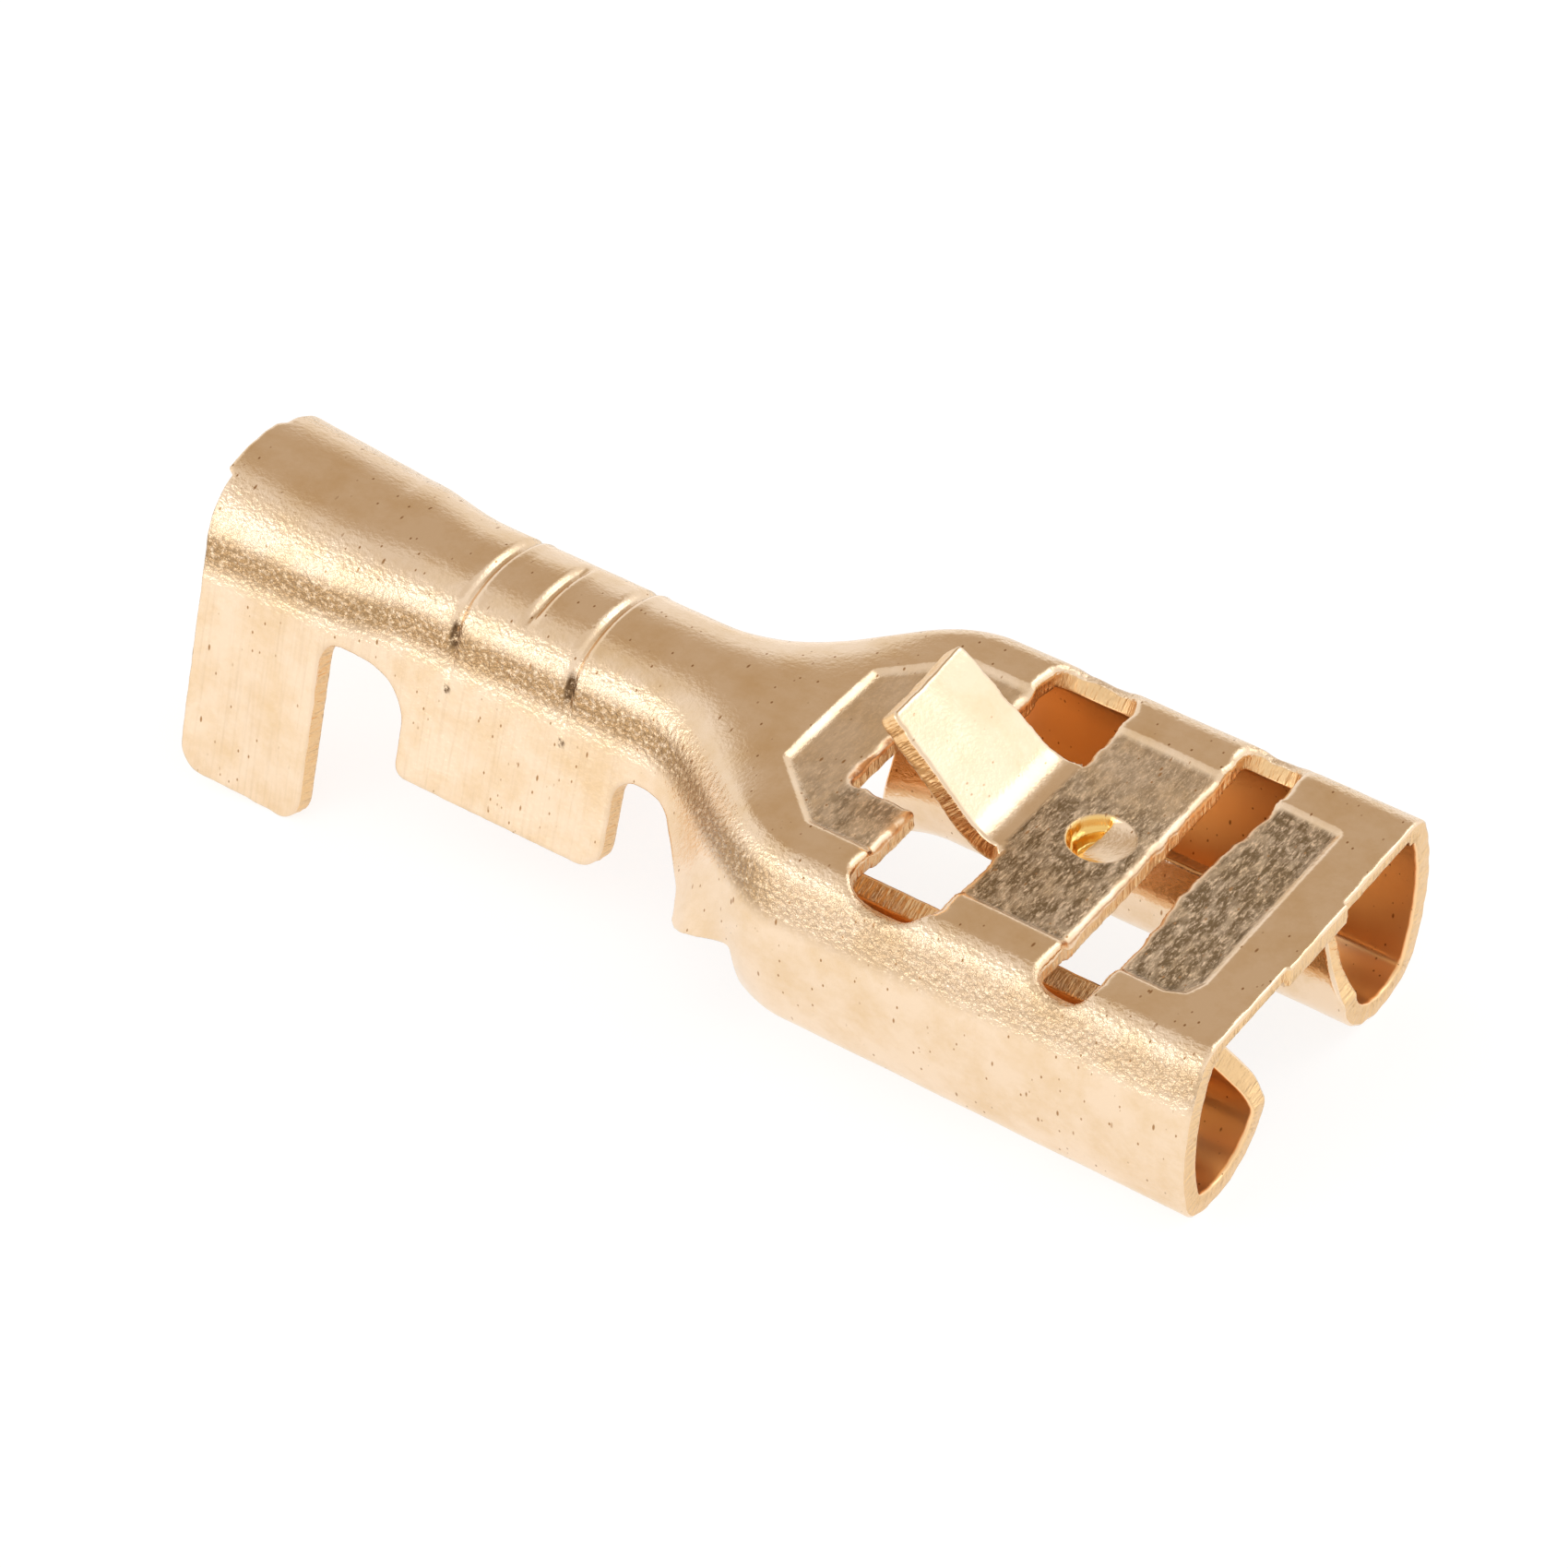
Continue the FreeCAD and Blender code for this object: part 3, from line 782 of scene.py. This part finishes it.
def mark_finish(mesh, x, s, depth, edge, plate_half):
    """Where each mark of the finish lies, as attributes that the brass reads."""
    place = mesh.attributes.new("blank_mm", "FLOAT_VECTOR", "POINT")
    place.data.foreach_set("vector", np.column_stack([x, s, depth]).astype(np.float32).ravel())
    start, end = bend_places(x, plate_half)
    across = np.abs(s)
    off_lance = ~on_lance(x, s)

    low_on_bend = smooth((across - mix(start, end, 0.35)) / (0.55 * (end - start)))
    on_bend = smooth((across - start) / 0.25) * (1.0 - smooth((across - end - 0.40) / 0.5))
    add_floats(mesh, "peel", mix(0.6, 1.0, low_on_bend) * on_bend * off_lance)

    # Mask of the painted shade band just past each bend, where the face mirrors the darker room
    reach = 0.32 + 0.20 * smooth((x + 9.5) / 1.5) * (1.0 - smooth((x + 7.0) / 6.0))
    drawn = smooth((across - end + 0.26) / 0.34) * (1.0 - smooth((across - end - reach) / 0.42))
    faint_on_receptacle = mix(1.0, 0.55, smooth((x + 8.6) / 1.2))
    add_floats(mesh, "drawn", drawn * faint_on_receptacle * off_lance)
    add_floats(mesh, "wing", smooth((across - end) / 0.6) * (x < NECK_REAR))
    add_floats(mesh, "groove", groove_darkening(x, s))

    in_dent = smooth((DIMPLE_R + 0.03 - np.hypot(x - DIMPLE[0], s - DIMPLE[1])) / 0.06)
    field = field_sink(x, s) / FIELD_DEPTH
    clear_of_edge = smooth((edge - 0.07) / 0.10)
    # Mask of dirt and painted shade over the coined field
    grime_and_shade = grime_and_shade_at(x, s) * smooth((field - 0.6) / 0.3) * clear_of_edge
    add_floats(mesh, "coined", field * (1.0 - in_dent) * off_lance)
    add_floats(mesh, "grime_and_shade", grime_and_shade * (1.0 - in_dent) * off_lance)
    add_floats(mesh, "dimple", in_dent * smooth((from_step(x, s) + 0.05) / 0.08))
    add_floats(mesh, "lance", ~off_lance)


def build_terminal(sheet, place):
    """Folds the blank: outer face, inner face and the sheared rim between them."""
    half = sheet.plate_half
    blank = Blank()
    count = len(blank.border)
    outer_x, outer_s, outer_depth, outer_edge, outer_triangles = outer_face(blank, sheet)
    inner_x, inner_s, inner_depth, inner_edge, inner_triangles = inner_face(blank, sheet)
    rows = rim_rows(blank, outer_depth[:count], inner_depth[:count])

    parts = [shape_points(outer_x, outer_s, outer_depth, half)]
    parts += [shape_points(line[:, 0], line[:, 1], depth, half) for line, depth in rows]
    parts.append(shape_points(inner_x, inner_s, inner_depth, half))
    points = rest_on_floor(seat(np.concatenate(parts), place))

    first_inner = len(outer_x) + len(rows) * count
    outside = outer_triangles.tolist()
    rim = rim_faces(blank, len(outer_x), first_inner)
    within = [(first_inner + a, first_inner + c, first_inner + b) for a, b, c in inner_triangles.tolist()]
    faces = outside + rim + within
    kinds = [0] * len(outside) + [1] * len(rim) + [0] * len(within)
    mesh = bpy.data.meshes.new("terminal_sheet")
    mesh.from_pydata(points.tolist(), [], faces)
    mesh.update()
    mesh.polygons.foreach_set("material_index", kinds)
    mesh.polygons.foreach_set("use_smooth", [True] * len(faces))

    x = np.concatenate([outer_x] + [blank.border[:, 0]] * len(rows) + [inner_x])
    s = np.concatenate([outer_s] + [blank.border[:, 1]] * len(rows) + [inner_s])
    depth = np.concatenate([outer_depth] + [row_depth for line, row_depth in rows] + [inner_depth])
    edge = np.concatenate([outer_edge, np.zeros(len(rows) * count), inner_edge])
    mark_finish(mesh, x, s, depth, edge, half)
    inside = [np.zeros(len(outer_x)), np.full(len(rows) * count, 0.5), np.ones(len(inner_x))]
    add_floats(mesh, "inside", np.concatenate(inside))
    mesh.validate()
    piece = bpy.data.objects.new("terminal_sheet", mesh)
    bpy.context.scene.collection.objects.link(piece)
    return piece


# Materials
def add_node(tree, kind, settings=None, **links):
    """Adds a node, sets its values and links its inputs; a link is given as (node, output)."""
    node = tree.nodes.new(kind)
    for name, value in (settings or {}).items():
        if name.startswith("in_"):
            key = name[3:]
            node.inputs[int(key) if key.isdigit() else key].default_value = value
        else:
            setattr(node, name, value)
    for name, source in links.items():
        key = int(name[1:]) if name[0] == "i" and name[1:].isdigit() else name
        tree.links.new(source[0].outputs[source[1]], node.inputs[key])
    return node


def new_material(name):
    material = bpy.data.materials.new(name)
    material.use_nodes = True
    tree = material.node_tree
    shader = tree.nodes["Principled BSDF"]
    return material, tree, shader


# Each of these returns (node, output), as add_node takes its links
def mark(tree, name):
    return add_node(tree, "ShaderNodeAttribute", {"attribute_name": name}), "Fac"


def blank_place(tree):
    """Place on the flat blank in mm, so that every pattern's scale is in repeats per mm."""
    return add_node(tree, "ShaderNodeAttribute", {"attribute_name": "blank_mm"}), "Vector"


def stretched(tree, where, scales):
    return add_node(tree, "ShaderNodeMapping", {"in_3": scales}, Vector=where), 0


def noise(tree, where, scale, detail, roughness=0.5):
    settings = {"in_Scale": scale, "in_Detail": detail, "in_Roughness": roughness}
    return add_node(tree, "ShaderNodeTexNoise", settings, Vector=where), "Fac"


def ranged(tree, value, start, full, low=0.0, high=1.0):
    """The value's range from start to full, mapped to low to high."""
    settings = {"in_1": start, "in_2": full, "in_3": low, "in_4": high}
    return add_node(tree, "ShaderNodeMapRange", settings, i0=value), 0


def maths(tree, operation, a, b):
    return add_node(tree, "ShaderNodeMath", {"operation": operation}, i0=a, i1=b), 0


def tinted(tree, base, colour, amount):
    """The base colour, turned into another one by an amount."""
    settings = {"data_type": "RGBA", "in_7": (*colour, 1)}
    return add_node(tree, "ShaderNodeMix", settings, i0=amount, i6=base), 2


def bumped(tree, distance, strength, height, **under):
    """A bump of so many metres; under may hold the Normal that it lies on."""
    settings = {"in_Distance": distance}
    return add_node(tree, "ShaderNodeBump", settings, Strength=strength, Height=height, **under), 0


def rolled_brass(colours):
    """Cartridge brass strip, rolled and stamped: pale peach gold, semi-bright, with pits and fine lines."""
    material, tree, shader = new_material("Rolled cartridge brass")
    shader.inputs["Metallic"].default_value = 1.0
    place = blank_place(tree)
    inside = mark(tree, "inside")
    grime_and_shade = mark(tree, "grime_and_shade")
    wing = mark(tree, "wing")
    off_lance = ranged(tree, mark(tree, "lance"), 0.0, 1.0, 1.0, 0.6)
    outer = ranged(tree, inside, 0.0, 1.0, 1.0, 0.1)

    # Cloudy tarnish over some millimetres; deeper gold on the face inside the rolls, a brighter copy of the
    # brass painted in for the light bouncing between its walls
    cloud = noise(tree, place, scale=0.9, detail=7.0, roughness=0.66)
    patch = maths(tree, "MULTIPLY", ranged(tree, cloud, 0.42, 0.68), off_lance)
    settings = {"data_type": "RGBA", "in_6": (*colours.face, 1), "in_7": (*colours.shade, 1)}
    tarnished = add_node(tree, "ShaderNodeMix", settings, i0=patch), 2
    colour = tinted(tree, tarnished, colours.inner, inside)

    # Painted shade: past each bend a brown, flecked band stands in for the darker room that the turning face
    # mirrors there
    fleck = noise(tree, place, scale=10.0, detail=3.0, roughness=0.7)
    flecked_shade_band = maths(tree, "MULTIPLY", ranged(tree, fleck, 0.72, 0.48), mark(tree, "drawn"))
    colour = tinted(tree, colour, colours.drawn, maths(tree, "MULTIPLY", flecked_shade_band, outer))

    # Fine drawing lines run down the wings
    scored = noise(tree, stretched(tree, place, (14.0, 0.5, 1.0)), scale=1.0, detail=4.0)
    score = maths(tree, "MULTIPLY", ranged(tree, scored, 0.50, 0.75, 0.0, 0.14), wing)
    colour = tinted(tree, colour, colours.drawn, score)

    # The long grooves darkened brown, broken up by the flecks
    groove_brown = ranged(tree, mark(tree, "groove"), 0.10, 0.65)
    groove_brown = maths(tree, "MULTIPLY", groove_brown, ranged(tree, fleck, 0.66, 0.48))
    colour = tinted(tree, colour, colours.groove_brown, groove_brown)

    # The coined field is dull: clumps of dark soil between bright specks, drawn out across the strip; the
    # darkening is partly painted shade for the dim room that the coined face mirrors
    streak = stretched(tree, place, (2.6, 0.8, 1.0))
    soil_and_shade = ranged(tree, noise(tree, streak, scale=6.5, detail=6.0, roughness=0.8), 0.64, 0.48)
    clump = ranged(tree, noise(tree, streak, scale=2.2, detail=3.0), 0.36, 0.58, 0.62, 1.15)
    dirt_and_shade = maths(tree, "MULTIPLY", maths(tree, "MULTIPLY", soil_and_shade, clump), grime_and_shade)
    in_dent = mark(tree, "dimple")
    dirt_and_shade = maths(tree, "MULTIPLY", dirt_and_shade, ranged(tree, in_dent, 0.0, 1.0, 1.0, 0.0))
    colour = tinted(tree, colour, colours.soil_and_shade, dirt_and_shade)
    colour = tinted(tree, colour, colours.dent, in_dent)

    # Dark pits drawn out along the rolling direction, in two sizes; clean is the share of cells without one
    for scale, clean, size, long in ((3.6, 0.30, 0.066, 0.38), (6.3, 0.38, 0.095, 0.60)):
        cells = add_node(
            tree, "ShaderNodeTexVoronoi", {"in_Scale": scale}, Vector=stretched(tree, place, (1.0, long, 1.0))
        )
        spot = ranged(tree, (cells, "Distance"), size * 1.5, size * 0.8)
        chance = add_node(tree, "ShaderNodeSeparateColor", Color=(cells, "Color"))
        pits = maths(tree, "MULTIPLY", spot, ranged(tree, (chance, 0), clean, clean + 0.1))
        colour = tinted(tree, colour, colours.pit, maths(tree, "MULTIPLY", pits, off_lance))
    tree.links.new(colour[0].outputs[colour[1]], shader.inputs["Base Color"])

    dull = maths(tree, "MAXIMUM", mark(tree, "coined"), inside)
    rough = ranged(tree, dull, 0.0, 1.0, 0.175, 0.28)
    tree.links.new(rough[0].outputs[0], shader.inputs["Roughness"])

    # Orange peel over the bends, stipple in the coined field, drawing lines down the wings
    grains = noise(tree, place, scale=11.0, detail=3.0, roughness=0.55)
    amount = maths(tree, "MULTIPLY", ranged(tree, mark(tree, "peel"), 0.0, 1.0, 0.12, 0.90), outer)
    normal = bumped(tree, 0.00006, maths(tree, "MULTIPLY", amount, off_lance), grains)
    stipple = noise(tree, streak, scale=11.0, detail=4.0, roughness=0.7)
    normal = bumped(tree, 0.000024, grime_and_shade, stipple, Normal=normal)
    lines = noise(tree, stretched(tree, place, (9.0, 0.5, 1.0)), scale=1.6, detail=3.0)
    normal = bumped(tree, 0.000012, wing, lines, Normal=normal)
    tree.links.new(normal[0].outputs[0], shader.inputs["Normal"])
    return material


def sheared_brass(colours):
    """The same strip where the die cut it: deeper gold, with striations across the thickness."""
    material, tree, shader = new_material("Sheared brass edge")
    shader.inputs["Metallic"].default_value = 1.0
    shader.inputs["Roughness"].default_value = 0.32
    shader.inputs["Base Color"].default_value = (*colours.edge, 1)
    streaks = noise(tree, stretched(tree, blank_place(tree), (12.0, 12.0, 2.0)), scale=1.0, detail=4.0)
    bump = add_node(tree, "ShaderNodeBump", {"in_Strength": 1.0, "in_Distance": 0.00006}, Height=streaks)
    tree.links.new(bump.outputs[0], shader.inputs["Normal"])
    return material


def seen_directly(tree, *kinds):
    """1 where the ray is of one of the kinds, 0 elsewhere."""
    path = add_node(tree, "ShaderNodeLightPath")
    seen = (path, kinds[0])
    for kind in kinds[1:]:
        seen = maths(tree, "MAXIMUM", seen, (path, kind))
    return seen


FLOOR_HALF = 0.45
FLOOR_GLOW = 0.80


def white_floor():
    """Matt sheet, glowing like a light table where it is seen, so that it is white and its shadow pale."""
    material, tree, shader = new_material("White paper sweep")
    shader.inputs["Base Color"].default_value = (*srgb("#8C8C8B"), 1)
    shader.inputs["Roughness"].default_value = 0.9
    shader.inputs["Emission Color"].default_value = (1, 1, 1, 1)
    seen = seen_directly(tree, "Is Camera Ray", "Is Glossy Ray", "Is Transmission Ray")
    glow = add_node(tree, "ShaderNodeMath", {"operation": "MULTIPLY", "in_1": FLOOR_GLOW}, i0=seen)
    tree.links.new(glow.outputs[0], shader.inputs["Emission Strength"])
    return material


# Stage
# The room: a pale level all round, a bright wall at the front left, a lit patch at the rear right, a dark
# patch at the rear left and a greyer one overhead; each has its direction, the cosines where it starts and
# is full, and its gain
ROOM_LEVEL = 0.67
ROOM_GLOWS = (
    ((-0.462, -0.837, 0.295), 0.82, 0.95, 0.34),
    ((0.63, 0.61, 0.49), 0.86, 0.97, 0.22),
    ((-0.32, 0.58, 0.75), 0.85, 0.965, -0.68),
    ((0.0, 0.0, 1.0), 0.78, 0.97, -0.26),
)
# Colour of the room at each level
ROOM_DARK = (0.56, 0.46, 0.35, 1)
ROOM_PALE = (0.97, 0.96, 0.95, 1)
ROOM_PALE_LEVEL = 0.7
ROOM_BRIGHT = (1.45, 1.45, 1.45, 1)
# Name, direction from the terminal, size in metres and power in watts
LAMPS = (
    ("front left softbox", (-0.46, -0.84, 0.30), 0.22, 0.22),
    ("rear right softbox", (0.44, 0.62, 0.66), 0.20, 0.11),
)
LAMP_DISTANCE = 0.45
CAMERA_TARGET = (-7.41, -3.12, 0.0)
CAMERA_SHIFT = (-0.01635, 0.0475)


def aim(place):
    """Camera matrix in the row frame, in metres."""
    az, el, roll = place.azimuth, place.elevation, place.roll
    back = np.array([math.cos(az) * math.cos(el), math.sin(az) * math.cos(el), math.sin(el)])
    right = np.cross(-back, (0.0, 0.0, 1.0))
    right /= np.linalg.norm(right)
    up = np.cross(right, -back)
    turned_right = math.cos(roll) * right + math.sin(roll) * up
    turned_up = -math.sin(roll) * right + math.cos(roll) * up
    where = np.array(CAMERA_TARGET) + place.distance * back
    c, s = math.cos(place.tilt), math.sin(place.tilt)
    spin = np.array([[c, 0, s], [0, 1, 0], [-s, 0, c]])
    columns = [spin @ axis for axis in (turned_right, turned_up, back)]
    columns.append(seat(where[None, :], place)[0])
    matrix = Matrix.Identity(4)
    for column, values in enumerate(columns):
        for row in range(3):
            matrix[row][column] = values[row]
    return matrix


def add_lamp(name, towards, size, power):
    """A square soft lamp, turned to the terminal."""
    light = bpy.data.lights.new(name, "AREA")
    light.shape = "SQUARE"
    light.size = size
    light.energy = power
    lamp = bpy.data.objects.new(name, light)
    bpy.context.scene.collection.objects.link(lamp)
    direction = Vector(towards).normalized()
    lamp.location = direction * LAMP_DISTANCE
    lamp.rotation_euler = direction.to_track_quat("Z", "Y").to_euler()


def add_floor():
    h = FLOOR_HALF
    mesh = bpy.data.meshes.new("floor")
    mesh.from_pydata([(-h, -h, 0), (h, -h, 0), (h, h, 0), (-h, h, 0)], [], [(0, 1, 2, 3)])
    mesh.materials.append(white_floor())
    floor = bpy.data.objects.new("floor", mesh)
    bpy.context.scene.collection.objects.link(floor)


def add_room():
    """The studio that the metal mirrors; the camera sees white instead of it."""
    world = bpy.data.worlds.new("studio")
    bpy.context.scene.world = world
    world.use_nodes = True
    tree = world.node_tree
    where = add_node(tree, "ShaderNodeTexCoord")
    level = add_node(tree, "ShaderNodeValue")
    level.outputs[0].default_value = ROOM_LEVEL
    total = (level, 0)
    for towards, start, full, gain in ROOM_GLOWS:
        settings = {"operation": "DOT_PRODUCT", "in_1": towards}
        facing = add_node(tree, "ShaderNodeVectorMath", settings, i0=(where, "Generated"))
        glow, output = ranged(tree, (facing, 1), start, full, 0.0, gain)
        glow.interpolation_type = "SMOOTHSTEP"
        total = maths(tree, "ADD", total, (glow, output))
    ramp = add_node(tree, "ShaderNodeValToRGB", i0=total)
    ramp.color_ramp.elements[0].color = ROOM_DARK
    ramp.color_ramp.elements[1].position = ROOM_PALE_LEVEL
    ramp.color_ramp.elements[1].color = ROOM_PALE
    ramp.color_ramp.elements.new(1.0).color = ROOM_BRIGHT
    seen = seen_directly(tree, "Is Camera Ray", "Is Transmission Ray")
    shade, output = tinted(tree, (ramp, 0), (1, 1, 1), seen)
    tree.links.new(shade.outputs[output], tree.nodes["Background"].inputs["Color"])


def add_camera(place):
    camera = bpy.data.cameras.new("camera")
    camera.sensor_width = 36.0
    camera.lens = place.lens
    camera.shift_x, camera.shift_y = CAMERA_SHIFT
    camera.clip_start = 0.005
    camera.clip_end = 10.0
    eye = bpy.data.objects.new("camera", camera)
    eye.matrix_world = aim(place)
    bpy.context.scene.collection.objects.link(eye)
    bpy.context.scene.camera = eye


class TERMINAL_OT_sheet(bpy.types.Operator):
    """Fold the blank into the terminal and finish it in brass"""

    bl_idname = "terminal.sheet"
    bl_label = "Fold the terminal"

    def execute(self, context):
        scene = context.scene
        piece = build_terminal(scene.terminal_sheet, scene.terminal_stage)
        piece.data.materials.append(rolled_brass(scene.terminal_finish))
        piece.data.materials.append(sheared_brass(scene.terminal_finish))
        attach(piece, "root")
        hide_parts("terminal")
        return {"FINISHED"}


class TERMINAL_OT_stage(bpy.types.Operator):
    """Lay the white floor and set the lamps, the world and the camera"""

    bl_idname = "terminal.stage"
    bl_label = "Set the stage"

    def execute(self, context):
        add_floor()
        add_room()
        for lamp in LAMPS:
            add_lamp(*lamp)
        add_camera(context.scene.terminal_stage)
        context.scene.view_settings.view_transform = "Standard"
        return {"FINISHED"}


class TERMINAL_PT_panel(bpy.types.Panel):
    bl_label = "Spade terminal"
    bl_idname = "TERMINAL_PT_panel"
    bl_space_type = "VIEW_3D"
    bl_region_type = "UI"
    bl_category = "Terminal"

    def draw(self, context):
        layout = self.layout
        scene = context.scene
        for group in (scene.terminal_sheet, scene.terminal_finish, scene.terminal_stage):
            for name in group.bl_rna.properties.keys():
                if name not in ("rna_type", "name"):
                    layout.prop(group, name)
        layout.operator("terminal.sheet")
        layout.operator("terminal.stage")


CLASSES = (
    TerminalSheet,
    TerminalFinish,
    TerminalStage,
    TERMINAL_OT_sheet,
    TERMINAL_OT_stage,
    TERMINAL_PT_panel,
)


def register():
    for cls in CLASSES:
        bpy.utils.register_class(cls)
    bpy.types.Scene.terminal_sheet = bpy.props.PointerProperty(type=TerminalSheet)
    bpy.types.Scene.terminal_finish = bpy.props.PointerProperty(type=TerminalFinish)
    bpy.types.Scene.terminal_stage = bpy.props.PointerProperty(type=TerminalStage)


def unregister():
    del bpy.types.Scene.terminal_stage
    del bpy.types.Scene.terminal_finish
    del bpy.types.Scene.terminal_sheet
    for cls in reversed(CLASSES):
        bpy.utils.unregister_class(cls)


def main():
    register()
    bpy.ops.terminal.stage()
    bpy.ops.terminal.sheet()


if __name__ == "__main__":
    main()
